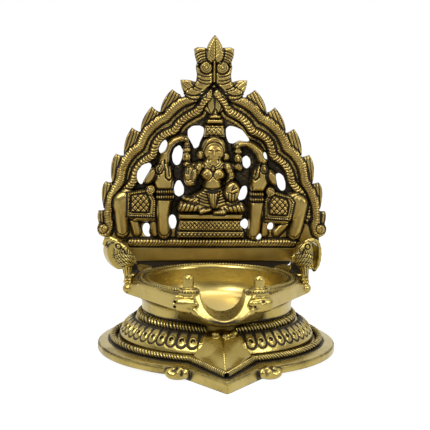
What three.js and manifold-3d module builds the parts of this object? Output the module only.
// Cast brass oil lamp: a hollow foot with a ring of petals and a pointed prow, an oil bowl with a wick
// spout and two wick posts, and a pierced back plate that two perched birds hold behind the bowl.
// Millimetres, +Z up, the spout points to -Y. The model is built about the foot's axis, and the whole
// group is then moved so that its origin is the middle of the base of its box.
import * as THREE from "three";
import { ConvexGeometry } from "three/addons/geometries/ConvexGeometry.js";
import { mergeVertices } from "three/addons/utils/BufferGeometryUtils.js";
import Module from "manifold-3d";

const wasm = await Module();
wasm.setup();

// Clearances and fineness
const GAP = 0.3; // between cast pieces that meet
const ROUND = 44; // segments round a turned form
const BEAD = 5; // sides of a round moulding

// Foot
const FOOT_RADIUS = 52.5;
const FLANGE_EDGE = 4.6; // height of the flange's plain edge
const FLANGE_RISE = 1.4; // how far its top climbs towards the rope ring
const FOOT_WALL = 2.8;
const FOOT_LAND = 7; // width of the ring that it stands on
const PROW_LENGTH = 20.2; // tip of the prow, out from the flange's edge
const PROW_HALF_ANGLE = 17.5; // degrees about the axis, where the prow leaves the flange
const DOME_RADIUS = 43.6; // base of the petal dome
const DOME_BASE_Z = 8.4;
const FOOT_ROPE = 1.3; // radius of the rope round the dome's base
const NECK_RADIUS = 33.2;
const NECK_Z = 18.5; // where the foot ends and the bowl begins
const CROWN_ROPE = 1.9; // radius of the rope above the petals
const CROWN_OPENING = 15; // degrees to each side where that rope ends under the spout
const DECK_Z = 16.2; // top of the inner deck that carries the bowl
const DECK_THICK = 3;
const PETALS = 52; // places round the dome, one to a facet of the turned foot
const PETAL_RAISE = 0.9;

// Bowl
const BOWL_FLOOR = 2.6;
const LIP_RADIUS = 29.4; // inner edge of the mouth
const RIM_WIDTH = 7; // from the lip to the rim's outer edge
const RIM_TOP_Z = 33;
const LEDGE_DROP = 0.9; // the outer ledge lies this far under the inner ring
const BAND_HEIGHT = 6.4; // plain band round the rim
const SPOUT_REACH = 50; // from the axis to the spout's lip
const NOTCH_HALF_WIDTH = 9;
const NOTCH_DEPTH = 8.8;
const SPOUT_WALL = 2.2; // under the notch
const BOSS_X = 39.5; // corners of the rim that carry the birds
const BOSS_RADIUS = 2.6;

// Wick posts
const POST_X = 15;
const POST_Y = -35.5;
const POST_RADIUS = 2.35;
const POST_HEIGHT = 5;
const PAD_RADIUS = 4.1;
const PAD_HEIGHT = 1.3;
const TENON_RADIUS = 1.2;

// Fixing under the foot
const STUD_RADIUS = 3;
const STUD_TAIL = 2; // below the nut
const WASHER_RADIUS = 7.5;
const WASHER_THICK = 1.4;
const NUT_ACROSS = 10;
const NUT_HEIGHT = 4.6;

// Back plate
const PLATE_THICK = 3;
const PLATE_LOW_Z = 33.4;
const PLATE_TOP_Z = 139.6;
const PANEL_HALF_WIDTH = 33.5; // plain panel at the bottom edge
const SHELF_Z = 42.3; // rope moulding that the figures stand on
const SHELF_HALF_WIDTH = 38;
const TAIL_X = 50.5; // curled ends of the rope bands
const TAIL_Z = 48.6;
const OUTER_ROPE = 2;
const INNER_ROPE = 1.7;
const CURL_RADIUS = 3.8; // of those ends

// Birds
const BIRD_HEIGHT = 15.6; // above the rim
const BIRD_LEAN = 6.2; // how far it spreads sideways towards the plate
const RIVET_RADIUS = 1.5;
const RIVET_HEAD = 2.9;

// Sizes that follow from these
const rimRadius = LIP_RADIUS + RIM_WIDTH;
const ledgeZ = RIM_TOP_Z - LEDGE_DROP;
const bandLowZ = ledgeZ - BAND_HEIGHT;
const shoulderRadius = NECK_RADIUS + 1.7; // where the petals end
const crownRopeRadius = NECK_RADIUS + 0.2;
const crownRopeZ = NECK_Z - CROWN_ROPE;
const footRopeRadius = DOME_RADIUS + 2.3;
const footRopeZ = FLANGE_EDGE + FLANGE_RISE + 0.6;
const prowTip = FOOT_RADIUS + PROW_LENGTH;
const bowlBaseZ = DECK_Z + GAP;
const bowlFloorZ = bowlBaseZ + BOWL_FLOOR;
const notchFloorZ = RIM_TOP_Z - NOTCH_DEPTH;
const plateY = rimRadius + 0.6; // face of the plate's ground, just behind the rim
const padZ = ledgeZ + PAD_HEIGHT;
const perchX = BOSS_X - 1.2; // middle of the bird's feet
const rivetX = BOSS_X + BIRD_LEAN;
const rivetZ = SHELF_Z - 4.1;

const lamp = new THREE.Group();
const polished = () => new THREE.MeshStandardMaterial({ color: 0xc39a45, roughness: 0.3, metalness: 1 });
const antique = () => new THREE.MeshStandardMaterial({ color: 0x94702f, roughness: 0.42, metalness: 1 });
const plain = () => new THREE.MeshStandardMaterial({ color: 0xa98a48, roughness: 0.45, metalness: 1 });

// A manifold solid from any closed three.js geometry
function solid(geometry) {
  const g = geometry.index ? geometry.toNonIndexed() : geometry.clone();
  g.deleteAttribute("normal");
  g.deleteAttribute("uv");
  const merged = mergeVertices(g, 1e-4);
  const corners = merged.index.array;
  const kept = [];
  for (let i = 0; i < corners.length; i += 3) {
    const [a, b, c] = [corners[i], corners[i + 1], corners[i + 2]];
    if (a !== b && b !== c && a !== c) kept.push(a, b, c);
  }
  const vertProperties = new Float32Array(merged.attributes.position.array);
  const triVerts = new Uint32Array(kept);
  return new wasm.Manifold(new wasm.Mesh({ numProp: 3, vertProperties, triVerts }));
}

function geometryOf(manifold) {
  const mesh = manifold.getMesh();
  const g = new THREE.BufferGeometry();
  g.setAttribute("position", new THREE.BufferAttribute(new Float32Array(mesh.vertProperties), 3));
  g.setIndex(new THREE.BufferAttribute(new Uint32Array(mesh.triVerts), 1));
  const faceted = g.toNonIndexed();
  faceted.computeVertexNormals();
  return faceted;
}

function add(name, manifold, material) {
  const mesh = new THREE.Mesh(geometryOf(manifold), material);
  mesh.name = name;
  lamp.add(mesh);
}

const union = (list) => list.reduce((a, b) => a.add(b));
const hull = (points) => solid(new ConvexGeometry(points.map((p) => new THREE.Vector3(...p))));
const bothSides = (make) => [-1, 1].map(make);

// A solid of revolution about Z. The profile is a path of [radius, z] that starts and ends on the axis.
function turned(path, divisions = 5, segments = ROUND) {
  const g = new THREE.LatheGeometry(path.getPoints(divisions), segments);
  g.rotateX(Math.PI / 2);
  return solid(g);
}

function cylinder(radius, low, high, x = 0, y = 0, segments = 24) {
  const g = new THREE.CylinderGeometry(radius, radius, high - low, segments);
  g.rotateX(Math.PI / 2);
  g.translate(x, y, (low + high) / 2);
  return solid(g);
}

// An egg-shaped solid, turned about Y by tilt
function egg(centre, radii, tilt = 0, sides = 10, rows = 8) {
  const g = new THREE.SphereGeometry(1, sides, rows);
  g.rotateX(Math.PI / 2);
  g.scale(...radii);
  g.rotateY(tilt);
  g.translate(...centre);
  return solid(g);
}

function ring(radius, thick, z, segments = ROUND, sides = BEAD) {
  return solid(new THREE.TorusGeometry(radius, thick, sides, segments).translate(0, 0, z));
}

// A plan outline between two heights
function slab(shape, low, high, curveSegments = 12) {
  const g = new THREE.ExtrudeGeometry(shape, { depth: high - low, bevelEnabled: false, curveSegments });
  g.translate(0, 0, low);
  return solid(g);
}

function polygon(points) {
  return new THREE.Shape(points.map(([x, y]) => new THREE.Vector2(x, y)));
}

// A round moulding along a curve in space
function moulding(curve, radius, steps, sides = BEAD) {
  const section = new THREE.Shape();
  section.absarc(0, 0, radius, 0, 2 * Math.PI, false);
  const points = section.getPoints(sides).slice(0, sides);
  const options = { steps, extrudePath: curve, bevelEnabled: false };
  return solid(new THREE.ExtrudeGeometry(new THREE.Shape(points), options));
}

const atAngle = (radius, degrees) => {
  const t = (degrees * Math.PI) / 180;
  return [radius * Math.sin(t), -radius * Math.cos(t)];
};

// The foot's outside from the table up to the neck, closed on the axis
function footProfile() {
  const path = new THREE.Path();
  path.moveTo(0, 0);
  path.lineTo(FOOT_RADIUS, 0);
  path.lineTo(FOOT_RADIUS, FLANGE_EDGE - 0.5);
  path.lineTo(FOOT_RADIUS - 0.7, FLANGE_EDGE);
  path.lineTo(footRopeRadius, FLANGE_EDGE + FLANGE_RISE);
  path.lineTo(DOME_RADIUS, FLANGE_EDGE + FLANGE_RISE);
  path.lineTo(DOME_RADIUS, DOME_BASE_Z);
  path.quadraticCurveTo(DOME_RADIUS - 1.4, DECK_Z - 2.4, shoulderRadius + 1.4, DECK_Z - 1);
  path.lineTo(crownRopeRadius, DECK_Z - 0.4);
  path.lineTo(NECK_RADIUS, NECK_Z);
  path.lineTo(0, NECK_Z);
  return path;
}

function prowOutline(inset = 0) {
  const [x, y] = atAngle(FOOT_RADIUS - inset, PROW_HALF_ANGLE);
  return polygon([[-x, y + 8], [-x, y], [0, -prowTip + inset * 1.8], [x, y], [x, y + 8]]);
}

// The smooth ridged face between the petals, from the prow's tip up to the neck
function keelPoints(inset) {
  const [cornerX, cornerY] = atAngle(DOME_RADIUS - inset, 16);
  const [upperX, upperY] = atAngle(shoulderRadius + 4 - inset, 9.6);
  const drop = 1.25 * inset;
  return [
    [0, -prowTip + 11.2 + inset * 1.6, 5.4 - drop],
    [cornerX, cornerY, 7.4 - drop],
    [-cornerX, cornerY, 7.4 - drop],
    [upperX, upperY, DECK_Z - 1.2 - drop],
    [-upperX, upperY, DECK_Z - 1.2 - drop],
    [0, -shoulderRadius - 6 + inset, DECK_Z - drop],
    [0, -NECK_RADIUS + 4, DECK_Z - drop],
    [cornerX, cornerY + 4, 1 - drop],
    [-cornerX, cornerY + 4, 1 - drop],
    [0, -prowTip + 11.2 + inset * 1.6, 1 - drop],
  ];
}

// A rope round the foot that stays open in front, for an angle to each side
function openRing(radius, thick, z, degrees) {
  const edge = (degrees * Math.PI) / 180;
  const sector = new THREE.Shape();
  sector.moveTo(0, 0);
  sector.absarc(0, 0, FOOT_RADIUS * 2, -Math.PI / 2 + edge, 1.5 * Math.PI - edge, false);
  sector.lineTo(0, 0);
  return ring(radius, thick, z, PETALS).intersect(slab(sector, 0, z + 2 * thick));
}

// The rope that rings the dome's base and runs out along the prow
function footRope() {
  const corner = atAngle(footRopeRadius, PROW_HALF_ANGLE - 1);
  const tipY = -prowTip + 6.6;
  const sides = bothSides((s) => {
    const start = new THREE.Vector3(s * corner[0], corner[1], footRopeZ);
    const end = new THREE.Vector3(0, tipY, footRopeZ - 1.2);
    return moulding(new THREE.LineCurve3(start, end), FOOT_ROPE, 1, 8);
  });
  const joint = (x, y, z) => egg([x, y, z], [FOOT_ROPE, FOOT_ROPE, FOOT_ROPE]);
  const knee = bothSides((s) => joint(s * corner[0], corner[1], footRopeZ));
  const tip = joint(0, tipY, footRopeZ - 1.2);
  return union([openRing(footRopeRadius, FOOT_ROPE, footRopeZ, PROW_HALF_ANGLE - 1), ...sides, ...knee, tip]);
}

// One raised tongue of the petal ring
function petal(degrees) {
  const half = (360 / PETALS) * 0.4;
  const rows = [
    [DOME_RADIUS - 0.1, DOME_BASE_Z + 1.2, [0]],
    [DOME_RADIUS - 0.5, DOME_BASE_Z + 2.4, [-half, half]],
    [DOME_RADIUS - 1.8, DECK_Z - 3, [-half, half]],
    [shoulderRadius + 2.2, DECK_Z - 0.6, [-half, half]],
  ];
  const face = rows.flatMap(([r, z, spreads]) =>
    spreads.map((d) => [...atAngle(r + PETAL_RAISE * 0.75, degrees + d), z + PETAL_RAISE * 0.5]),
  );
  const root = [atAngle(shoulderRadius, degrees), atAngle(DOME_RADIUS - 4, degrees)];
  return hull([...face, [...root[0], DECK_Z - 2], [...root[1], DOME_BASE_Z + 1]]);
}

function petals() {
  const angles = Array.from({ length: PETALS }, (_, i) => ((i + 0.5) * 360) / PETALS);
  const clearOfKeel = (a) => Math.min(a, 360 - a) > PROW_HALF_ANGLE - 1;
  return angles.filter(clearOfKeel).map(petal);
}

// The casting's hollow: under the dome up to the deck, and under the prow's face
function footHollow() {
  const path = new THREE.Path();
  path.moveTo(0, -1);
  path.lineTo(FOOT_RADIUS - FOOT_LAND, -1);
  path.lineTo(DOME_RADIUS - FOOT_WALL, FLANGE_EDGE + 0.5);
  path.lineTo(DOME_RADIUS - FOOT_WALL - 0.6, DOME_BASE_Z);
  path.lineTo(shoulderRadius - FOOT_WALL - 0.6, DECK_Z - DECK_THICK);
  path.lineTo(0, DECK_Z - DECK_THICK);
  return turned(path, 1, PETALS).add(hull(keelPoints(FOOT_WALL + 0.4)));
}

function makeFoot() {
  const nubs = bothSides((s) => {
    const [x, y] = atAngle(FOOT_RADIUS + 0.4, PROW_HALF_ANGLE + 2.5);
    return egg([s * x, y, 2.3], [4.4, 2.6, 2.2], 0, 8, 6);
  });
  const prow = slab(prowOutline(), 0, FLANGE_EDGE);
  const body = union([turned(footProfile(), 2, PETALS), prow, hull(keelPoints(0)), footRope(), ...nubs]);
  const crown = openRing(crownRopeRadius, CROWN_ROPE, crownRopeZ, CROWN_OPENING);
  const spigotWell = cylinder(NECK_RADIUS - 1.9, DECK_Z, NECK_Z + 1, 0, 0, PETALS);
  const studHole = cylinder(STUD_RADIUS + GAP, DECK_Z - DECK_THICK - 1, DECK_Z + 1);
  const floor = slab(polygon([[-200, -200], [200, -200], [200, 200], [-200, 200]]), -10, 0);
  const cast = union([body, crown, ...petals()]);
  return cast.subtract(union([footHollow(), spigotWell, studHole, floor]));
}

// The rim in plan: a corner for each bird at the sides and the spout in front
function rimOutline() {
  const half = [
    [BOSS_X + 1, 3.4],
    [BOSS_X + 1, -3],
    [POST_X + 4.6, POST_Y - 2.4],
    [NOTCH_HALF_WIDTH + 3, -SPOUT_REACH + 8],
    [NOTCH_HALF_WIDTH * 0.5, -SPOUT_REACH + 1.6],
  ];
  const left = half.map(([x, y]) => [-x, y]);
  return polygon([[0, rimRadius * 0.6], ...left, [0, -SPOUT_REACH], ...[...half].reverse()]);
}

// The bowl's outside: spigot, neck, the flare under the rim, the band and the stepped top
function bowlProfile() {
  const path = new THREE.Path();
  const spigot = NECK_RADIUS - 1.9 - GAP;
  path.moveTo(0, bowlBaseZ);
  path.lineTo(spigot, bowlBaseZ);
  path.lineTo(spigot, NECK_Z + GAP);
  path.lineTo(NECK_RADIUS, NECK_Z + GAP);
  path.quadraticCurveTo(NECK_RADIUS - 0.6, bandLowZ - 2.5, rimRadius - 0.8, bandLowZ);
  path.lineTo(rimRadius, bandLowZ + 0.8);
  path.lineTo(rimRadius, ledgeZ - 0.5);
  path.lineTo(rimRadius - 0.5, ledgeZ);
  path.lineTo(LIP_RADIUS + 3, ledgeZ);
  path.lineTo(LIP_RADIUS + 2.6, RIM_TOP_Z);
  path.lineTo(0, RIM_TOP_Z);
  return path;
}

function bowlHollow() {
  const path = new THREE.Path();
  const inner = LIP_RADIUS - 0.3;
  const floorRadius = inner - 5;
  path.moveTo(0, bowlFloorZ);
  path.lineTo(floorRadius, bowlFloorZ);
  path.quadraticCurveTo(inner - 0.6, bowlFloorZ + 0.6, inner, bowlFloorZ + 6);
  path.lineTo(LIP_RADIUS, RIM_TOP_Z - 0.6);
  path.lineTo(LIP_RADIUS + 0.7, RIM_TOP_Z + 1);
  path.lineTo(0, RIM_TOP_Z + 1);
  return turned(path, 3);
}

// The spout's underside runs from the lip down to a point above the prow
function spoutBelly() {
  const footTop = cylinder(shoulderRadius + 0.6, 0, NECK_Z + GAP, 0, 0, ROUND);
  const low = bandLowZ + 0.2;
  const [chordX, chordY] = atAngle(NECK_RADIUS - 0.4, 34);
  const base = NECK_Z + GAP;
  const half = [
    [POST_X + 4, POST_Y - 2, low],
    [NOTCH_HALF_WIDTH + 2.4, -SPOUT_REACH + 9.6, low + 3],
    [NOTCH_HALF_WIDTH + 0.8, -SPOUT_REACH + 6, low],
    [NOTCH_HALF_WIDTH * 0.66, -SPOUT_REACH + 1.6, notchFloorZ - 0.6],
    [NOTCH_HALF_WIDTH * 0.3, -SPOUT_REACH - 0.6, notchFloorZ - SPOUT_WALL + 0.4],
    [chordX, chordY, base],
    [chordX, chordY, low],
  ];
  const flanks = bothSides((s) => half.map(([x, y, z]) => [s * x, y, z])).flat();
  const belly = hull([...flanks, [0, -shoulderRadius - 5, NECK_Z]]);
  return belly.subtract(footTop);
}

// The spout's mouth is cut back on a slope, lowest at its tip
function mouthSlope() {
  const half = NOTCH_HALF_WIDTH + 1.4;
  const section = [
    [-SPOUT_REACH - 8, RIM_TOP_Z + 1],
    [-LIP_RADIUS - 6.8, RIM_TOP_Z + 1],
    [-LIP_RADIUS - 7.2, RIM_TOP_Z],
    [-SPOUT_REACH + 2, notchFloorZ],
    [-SPOUT_REACH - 8, notchFloorZ - 8],
  ];
  return hull(section.flatMap(([y, z]) => [[-half, y, z], [half, y, z]]));
}

function notch() {
  const u = new THREE.Shape();
  const high = RIM_TOP_Z + 4;
  u.moveTo(-NOTCH_HALF_WIDTH, high);
  u.lineTo(-NOTCH_HALF_WIDTH, RIM_TOP_Z);
  u.absellipse(0, RIM_TOP_Z, NOTCH_HALF_WIDTH, NOTCH_DEPTH, Math.PI, 2 * Math.PI, false);
  u.lineTo(NOTCH_HALF_WIDTH, high);
  const g = new THREE.ExtrudeGeometry(u, { depth: SPOUT_REACH, bevelEnabled: false, curveSegments: 10 });
  g.rotateX(Math.PI / 2);
  g.translate(0, -LIP_RADIUS * 0.5, 0);
  return solid(g);
}

// The knob under each bird's corner of the rim
function boss(side, grow = 0) {
  const radii = [BOSS_RADIUS, BOSS_RADIUS + 0.4, BOSS_RADIUS].map((r) => r + grow);
  return egg([side * (BOSS_X + 0.6), -0.4, bandLowZ + 2], radii, 0, 10, 6);
}

function makeBowl() {
  const sides = bothSides((s) => [
    boss(s),
    egg([s * (POST_X + 0.2), POST_Y - 4.4, ledgeZ - 3.6], [4.9, 3, 3.7], 0, 10, 6),
    cylinder(PAD_RADIUS, ledgeZ - 2, padZ, s * POST_X, POST_Y, 16),
  ]).flat();
  const holes = bothSides((s) => [
    cylinder(TENON_RADIUS + GAP, 0, padZ + 1, s * POST_X, POST_Y, 12),
    cylinder(RIVET_RADIUS + GAP, bandLowZ - 9, RIM_TOP_Z + 1, s * perchX, 0, 12),
  ]).flat();
  const outside = union([
    turned(bowlProfile(), 3),
    slab(rimOutline(), bandLowZ, ledgeZ),
    spoutBelly(),
    ring(LIP_RADIUS + 4.4, 0.9, ledgeZ + 0.2, ROUND, 5),
  ]);
  const cast = outside.subtract(mouthSlope()).add(union(sides));
  return cast.subtract(union([bowlHollow(), notch(), ...holes]));
}

// A wick post: a dome on a plain stem, whose tenon is peened over under the rim
function makePost(side) {
  const seat = padZ + GAP;
  const path = new THREE.Path();
  path.moveTo(0, bandLowZ - 1.2);
  path.lineTo(TENON_RADIUS, bandLowZ - 1.2);
  path.lineTo(TENON_RADIUS, seat);
  path.lineTo(POST_RADIUS, seat);
  path.lineTo(POST_RADIUS - 0.2, seat + POST_HEIGHT * 0.5);
  path.quadraticCurveTo(POST_RADIUS - 0.4, seat + POST_HEIGHT, 0, seat + POST_HEIGHT);
  const g = new THREE.LatheGeometry(path.getPoints(4), 16);
  g.rotateX(Math.PI / 2);
  g.translate(side * POST_X, POST_Y, 0);
  return solid(g);
}

// One slice across a bird, facing the spout: a ring of points about [x, z] at depth y
function slice(side, [x, y, z, halfWidth, halfHeight]) {
  return Array.from({ length: 10 }, (_, i) => {
    const t = ((i + 0.5) * Math.PI) / 5;
    return [side * (x + halfWidth * Math.cos(t)), y, z + halfHeight * Math.sin(t)];
  });
}

// A perched bird in one casting: legs on the rim's corner, the breast and the bowed head, the smooth
// arched back that runs to the plate, and a web from it down beside the rim
function makeBird(side) {
  const back = plateY - GAP;
  const middle = ledgeZ + BIRD_HEIGHT - 6.6;
  const slices = [
    [perchX - 0.2, -1.9, middle, 2.4, 3],
    [perchX + 0.4, 0.6, middle, 3.8, 5],
    [perchX + 2.4, 4, middle, 5, 6.4],
    [perchX + 4.2, 11, middle - 0.2, 5.2, 6.6],
    [perchX + 5.2, 21, middle - 1, 5.4, 6],
    [rivetX - 0.3, back, rivetZ, 5.6, 5],
  ];
  const trunk = slices.slice(1).map((to, i) => hull([...slice(side, slices[i]), ...slice(side, to)]));
  const at = (out, y, up) => [side * (perchX + out), y, ledgeZ + up];
  const along = (from, ra, to, rb) => hull([...eggPoints(from, ra), ...eggPoints(to, rb)]);
  const web = hull([
    ...slice(side, [perchX + 1.6, 14, middle - 3, 1.4, 2.4]),
    ...slice(side, [rivetX - 5, back, rivetZ - 1, 1.4, 3]),
    ...slice(side, [perchX - 3.4, 18, ledgeZ + 1, 0.7, 0.6]),
    ...slice(side, [PANEL_HALF_WIDTH + 2.4, back, ledgeZ + 1, 0.7, 0.6]),
  ]);
  const body = [
    along(at(0, 0.2, 1.2), 1.8, at(0.2, 1.2, 6), 2.6),
    along(at(0.2, -0.4, BIRD_HEIGHT - 2.2), 2.4, at(2.2, 4.4, BIRD_HEIGHT - 3.4), 3.4),
    along(at(-0.8, -1.6, BIRD_HEIGHT - 2.6), 1.3, at(-2, -3.2, BIRD_HEIGHT - 4.2), 0.5),
  ];
  const tenon = cylinder(RIVET_RADIUS, bandLowZ - 1.4, ledgeZ + 2, side * perchX, 0, 12);
  const curlReach = OUTER_ROPE * 1.25 + GAP;
  const keepOut = union([
    slab(rimOutline(), -1, ledgeZ + GAP),
    cylinder(rimRadius + GAP, -1, ledgeZ + GAP, 0, 0, ROUND),
    cylinder(LIP_RADIUS + 5.8, ledgeZ - 1, RIM_TOP_Z + 1, 0, 0, ROUND),
    boss(side, GAP),
    bar(side * TAIL_X, TAIL_Z, CURL_RADIUS + 2 * GAP, plateY - curlReach, plateY + 1),
    solid(new THREE.BoxGeometry(300, 100, 400).translate(0, back + 50, 0)),
  ]);
  return union([...trunk, web, ...body]).subtract(keepOut).add(tenon).subtract(rivetHole(side));
}

function eggPoints([x, y, z], r, sides = 8, rows = 5) {
  const p = new THREE.SphereGeometry(r, sides, rows).attributes.position;
  return Array.from({ length: p.count }, (_, i) => [p.getX(i) + x, p.getY(i) + y, p.getZ(i) + z]);
}

// A round bar along Y
function bar(x, z, radius, front, back) {
  const g = new THREE.CylinderGeometry(radius, radius, back - front, 12);
  g.translate(x, (front + back) / 2, z);
  return solid(g);
}

const shankFront = plateY - 5;
const rivetBar = (side, radius, front, back) => bar(side * rivetX, rivetZ, radius, front, back);
const rivetHole = (side) => rivetBar(side, RIVET_RADIUS + GAP, shankFront - GAP, plateY + PLATE_THICK + 1);

function makeRivet(side) {
  const back = plateY + PLATE_THICK + GAP;
  const head = egg([side * rivetX, back, rivetZ], [RIVET_HEAD, RIVET_HEAD * 0.6, RIVET_HEAD], 0, 14, 8);
  const behind = solid(new THREE.BoxGeometry(300, 20, 400).translate(0, back + 10, 0));
  return head.intersect(behind).add(rivetBar(side, RIVET_RADIUS, shankFront, back + 0.5));
}

function makeStud() {
  const low = DECK_Z - DECK_THICK - GAP - WASHER_THICK - GAP - NUT_HEIGHT - STUD_TAIL;
  return cylinder(STUD_RADIUS, low, DECK_Z);
}

function makeWasher() {
  const top = DECK_Z - DECK_THICK - GAP;
  return cylinder(WASHER_RADIUS, top - WASHER_THICK, top).subtract(cylinder(STUD_RADIUS + GAP, 0, DECK_Z));
}

function makeNut() {
  const top = DECK_Z - DECK_THICK - GAP - WASHER_THICK - GAP;
  const across = NUT_ACROSS / Math.sqrt(3);
  return cylinder(across, top - NUT_HEIGHT, top, 0, 0, 6).subtract(cylinder(STUD_RADIUS + GAP, 0, DECK_Z));
}

// The back plate is drawn in its own plane: points are [x, z], and relief stands forward of its ground
function onPlate(shape, back, front, curveSegments = 8) {
  const g = new THREE.ExtrudeGeometry(shape, { depth: front - back, bevelEnabled: false, curveSegments });
  g.rotateX(Math.PI / 2);
  g.translate(0, plateY - back, 0);
  return solid(g);
}

const swell = (x, z, rx, rz, raise, tilt = 0) => egg([x, plateY, z], [rx, raise, rz], tilt, 8, 5);

// A rounded limb between two points of the plate's plane
function limb([ax, az], [bx, bz], ra, rb, raise) {
  const flatten = (points, r) => points.map(([x, y, z]) => [x, plateY + ((y - plateY) * raise) / r, z]);
  return hull([
    ...flatten(eggPoints([ax, plateY, az], ra, 6, 4), ra),
    ...flatten(eggPoints([bx, plateY, bz], rb, 6, 4), rb),
  ]);
}

const inPlane = (points, raise) => points.map(([x, z]) => new THREE.Vector3(x, plateY - raise, z));

// Middle lines of the two rope bands, right half, from the crest down to the curled ends
const outerLine = [
  [2, 113], [10.5, 110], [18.1, 105.9], [22.3, 101.2], [28.2, 97.4], [33, 91.2], [34.6, 87.3],
  [39.8, 82.5], [42.7, 76], [43.4, 71.8], [46.8, 65.4], [48.9, 56], [TAIL_X - 2, TAIL_Z],
];
const innerLine = [
  [2.6, 111], [6.1, 107], [7.6, 103.9], [13.5, 100.9], [18, 95.4], [24.5, 92.2], [27.6, 86.5], [28.4, 83.2],
  [33.3, 80], [36.6, 74.5], [37.5, 70.6], [41.8, 66], [44.6, 58.5], [45, 54],
];
const mirror = (points, side) => points.map(([x, z]) => [side * x, z]);

function rope(line, side, radius, steps) {
  const curve = new THREE.CatmullRomCurve3(inPlane(mirror(line, side), radius * 0.25));
  return moulding(curve, radius, steps, 6);
}

// Outer edge of the ground, right half, from the plain panel up to the crest
function groundShape() {
  const edge = [
    [50.2, 55.5], [49.2, 62], [47.2, 67.4], [44.6, 71.8], [43.6, 76.5], [40.8, 83], [35.4, 88],
    [32.4, 94.6], [27.4, 99.6], [22.6, 102.6], [18.7, 106.9], [12.6, 110.8],
  ];
  const corner = [
    [PANEL_HALF_WIDTH, PLATE_LOW_Z], [rivetX + 1, PLATE_LOW_Z], [rivetX + 4.4, rivetZ - 1.4],
    [rivetX + 5.4, rivetZ + 4], [TAIL_X + 3, TAIL_Z],
  ];
  const crest = [[9.4, 113.5], [8.4, 118], [7.8, 122], [8.6, 127], [9.2, 131.5], [5, 133.6], [2.6, 131.6]];
  const half = [...corner, ...edge, ...crest];
  const left = [...half].reverse().map(([x, z]) => [-x, z]);
  return polygon([[0, PLATE_LOW_Z], ...half, ...left]);
}

// A flame-like leaf from its base to its tip
function leaf([tipX, tipZ], [baseX, baseZ], width, front, back = -PLATE_THICK) {
  const along = new THREE.Vector2(tipX - baseX, tipZ - baseZ);
  const across = new THREE.Vector2(-along.y, along.x).normalize().multiplyScalar(width / 2);
  const base = new THREE.Vector2(baseX, baseZ);
  const tip = new THREE.Vector2(tipX, tipZ);
  const at = (share, side) => base.clone().addScaledVector(along, share).addScaledVector(across, side);
  const shape = new THREE.Shape();
  shape.moveTo(...at(0, -0.6));
  shape.quadraticCurveTo(...at(0.45, -1.7), ...tip);
  shape.quadraticCurveTo(...at(0.45, 1.7), ...at(0, 0.6));
  return onPlate(shape, back, front, 3);
}

// The saw-tooth leaves along the rope: where each leaves it at the top, its tip, and the middle and the
// end of its long outer edge
function leaves(side) {
  const rows = [
    [[15.6, 111.8], [19.3, 114.2], [23.2, 109.4], [24.9, 103.6]],
    [[25.7, 103.8], [28.8, 106.2], [32.8, 100.4], [34, 94.6]],
    [[34.4, 94.2], [38, 96.2], [41, 90.6], [41.8, 84]],
    [[42.2, 83], [45.5, 84], [47.7, 78.4], [47.2, 70.6]],
    [[46.8, 70.2], [50.2, 71], [52, 66.6], [51.2, 58.4]],
    [[50.6, 57.4], [53.6, 57.2], [54, 53.8], [53, 50.4]],
  ];
  return rows.map(([inner, tip, middle, low]) => {
    const shape = new THREE.Shape();
    shape.moveTo(side * inner[0], inner[1]);
    shape.lineTo(side * tip[0], tip[1]);
    const bulge = middle.map((m, k) => 2 * m - (tip[k] + low[k]) / 2);
    shape.quadraticCurveTo(side * bulge[0], bulge[1], side * low[0], low[1]);
    shape.lineTo(side * (low[0] - 2.4), low[1] - 0.6);
    shape.lineTo(side * (inner[0] - 1.8), inner[1] - 3);
    return onPlate(shape, -PLATE_THICK, 1.2, 4);
  });
}

// The lion mask at the crest: a leaf between two ears, round eyes, cheeks and the scrolls beside it
function crest() {
  const sides = bothSides((s) => [
    leaf([s * 9.2, 132.6], [s * 3, 124.5], 6.4, 1.8),
    swell(s * 3.7, 124.4, 2.9, 2.8, 2.2),
    swell(s * 3.7, 124.4, 1.4, 1.4, 3.1),
    limb([s * 2, 118.2], [s * 7.6, 120.6], 1.3, 1.1, 1.9),
    limb([s * 1.8, 115.6], [s * 8.6, 117.8], 1.3, 1.1, 1.7),
    leaf([s * 15.6, 118.6], [s * 7, 111], 6.6, 1.6),
    leaf([s * 13.4, 112.2], [s * 4, 112.6], 5, 1.3),
  ]).flat();
  const nose = limb([0, 127.5], [0, 114], 1.1, 1.5, 2.4);
  const top = leaf([0.2, PLATE_TOP_Z], [0.3, 126.6], 7.8, 1.8);
  return [...sides, nose, top];
}

// Curled ends of the rope bands at the plate's lower corners
function curl(side) {
  const disc = new THREE.Shape();
  disc.absarc(side * TAIL_X, TAIL_Z, CURL_RADIUS, 0, 2 * Math.PI, false);
  return [onPlate(disc, -PLATE_THICK, 1.4), swell(side * TAIL_X, TAIL_Z, 2, 2, 2.4)];
}

function seat() {
  const block = (halfLow, halfHigh, low, high, front) =>
    onPlate(polygon([[-halfLow, low], [halfLow, low], [halfHigh, high], [-halfHigh, high]]), -1, front);
  return [
    block(15.6, 15.6, SHELF_Z + 2.4, SHELF_Z + 5.9, 3.8),
    block(14.2, 14.2, SHELF_Z + 5.9, SHELF_Z + 11.2, 3),
    block(15.4, 15.8, SHELF_Z + 11.2, SHELF_Z + 14, 4.2),
  ];
}

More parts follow.
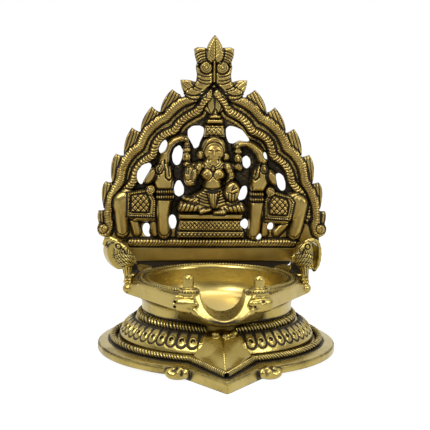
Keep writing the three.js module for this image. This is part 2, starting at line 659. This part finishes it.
// The seated goddess: raised and lowered palms in front, two lotus hands behind
function goddess() {
  const pairs = bothSides((s) => [
    swell(s * 5.6, 82.9, 1.5, 1.6, 2.4),
    swell(s * 3.3, 74.8, 2.7, 2.5, 5),
    limb([s * 7.4, 78], [s * 11, 71.2], 2.1, 1.9, 3),
    limb([s * 8.4, 79], [s * 12, 81], 1.7, 1.6, 2.2),
    limb([s * 12, 80.6], [s * 12.2, 88.4], 2.2, 1.9, 2.8),
    limb([s * 3, 62.6], [s * 14.6, 59.4], 3.1, 2.5, 4.6),
    limb([s * 12.4, 57.8], [s * 1.5, 57.4], 1.8, 1.5, 4.8),
  ]).flat();
  return [
    limb([0.2, 92], [0.3, 96.4], 4.7, 4.1, 4),
    limb([0.3, 98.4], [0.4, 100.4], 3.5, 2.6, 3.2),
    limb([0.5, 102], [0.6, 105], 1.3, 0.5, 2),
    swell(0.1, 86.4, 4.3, 5.2, 4.6),
    limb([-6.2, 78.6], [6.2, 78.6], 2.5, 2.5, 3.2),
    limb([0, 76], [0, 68], 4.8, 4.2, 3.6),
    limb([-3.4, 64.6], [3.4, 64.6], 2.9, 2.9, 3.8),
    swell(-10.5, 74.2, 3, 4.3, 5),
    swell(8.7, 67.2, 3.4, 4.2, 5),
    ...pairs,
  ];
}

// An elephant in profile that faces the middle, its trunk raised over its head
function elephant(side) {
  const at = (x, z) => [side * x, z];
  const rise = [[22, 79.5], [20.4, 85.4], [17.4, 89.6], [13.6, 90], [11.6, 87.4]];
  const trunk = new THREE.CatmullRomCurve3(inPlane(mirror(rise, side), 1));
  return [
    swell(side * 32, 60.6, 10, 7.8, 4.2),
    limb(at(38.2, 60), at(39.4, 46), 5.2, 2.8, 3.6),
    limb(at(22, 64), at(20.8, 46), 4, 2.9, 4),
    limb(at(31.6, 53), at(33.4, 45.6), 2.4, 1.9, 2.2),
    limb(at(22.6, 77.6), at(22.2, 67), 3.8, 4.4, 4.6),
    swell(side * 28.2, 74, 2.9, 5.4, 3.6, -side * 0.25),
    limb(at(18.9, 77.6), at(18.4, 71.4), 1.2, 1.4, 3.2),
    moulding(trunk, 1.9, 8, 6),
    onPlate(polygon([at(24.6, 66.4), at(25.4, 54.4), at(38.4, 53.2), at(38.6, 64.6)]), 0, 4.4),
  ];
}

function pierced() {
  const holes = [
    [-8.4, 92, 3.3, 4.8], [11.5, 92.8, 5.3, 3.6], [-23.3, 87.6, 1.6, 2.6], [-16.6, 83.4, 2.2, 3.9],
    [24.6, 82.9, 1, 1.5], [15.7, 80.2, 1.9, 2.8], [-32.2, 74.8, 3, 4.6], [32, 70.9, 2.2, 4],
    [-15.9, 67.9, 2.1, 3.4], [14.3, 65.6, 1.9, 2.8], [-18.8, 52.1, 1.6, 3.2], [15.1, 51.1, 1.7, 2.2],
    [27.7, 49.6, 1.4, 1.7], [-31, 48.2, 1.6, 3], [22.2, 44.8, 1.2, 1.2],
  ];
  return holes.map(([x, z, rx, rz]) => {
    const shape = new THREE.Shape();
    shape.absellipse(x, z, rx, rz, 0, 2 * Math.PI, false);
    return onPlate(shape, -PLATE_THICK - 1, 12, 4);
  });
}

// A tongue at the plate's back that runs down behind the rim and closes the slit between the two
function tongue() {
  const half = PANEL_HALF_WIDTH - 3.5;
  const low = PLATE_LOW_Z - 4;
  const high = PLATE_LOW_Z + 1.2;
  return onPlate(polygon([[-half, low], [half, low], [half, high], [-half, high]]), -PLATE_THICK, -1.1);
}

function makePlate() {
  const shelfEnds = bothSides((s) => [s * SHELF_HALF_WIDTH, SHELF_Z]);
  const shelf = moulding(new THREE.LineCurve3(...inPlane(shelfEnds, 0.4)), 1.7, 1);
  const edged = bothSides((s) => [
    rope(outerLine, s, OUTER_ROPE, 26),
    rope(innerLine, s, INNER_ROPE, 24),
    ...leaves(s),
    ...curl(s),
    ...elephant(s),
  ]).flat();
  const ground = onPlate(groundShape(), -PLATE_THICK, 0);
  const cast = union([ground, tongue(), shelf, ...edged, ...crest(), ...seat(), ...goddess()]);
  const behind = solid(new THREE.BoxGeometry(300, 40, 400).translate(0, plateY + PLATE_THICK + 20, 0));
  return cast.subtract(union([behind, ...pierced(), ...bothSides(rivetHole)]));
}

add("foot", makeFoot(), polished());
add("bowl", makeBowl(), polished());
add("bowl_stud", makeStud(), plain());
add("clamp_washer", makeWasher(), plain());
add("clamp_nut", makeNut(), plain());
add("back_plate", makePlate(), antique());
for (const [side, word] of [[-1, "left"], [1, "right"]]) {
  add(`wick_post_${word}`, makePost(side), polished());
  add(`bird_bracket_${word}`, makeBird(side), polished());
  add(`plate_rivet_${word}`, makeRivet(side), plain());
}

// The prow reaches further from the foot's axis than the disc does behind
lamp.position.y = (prowTip - FOOT_RADIUS) / 2;

export default lamp;
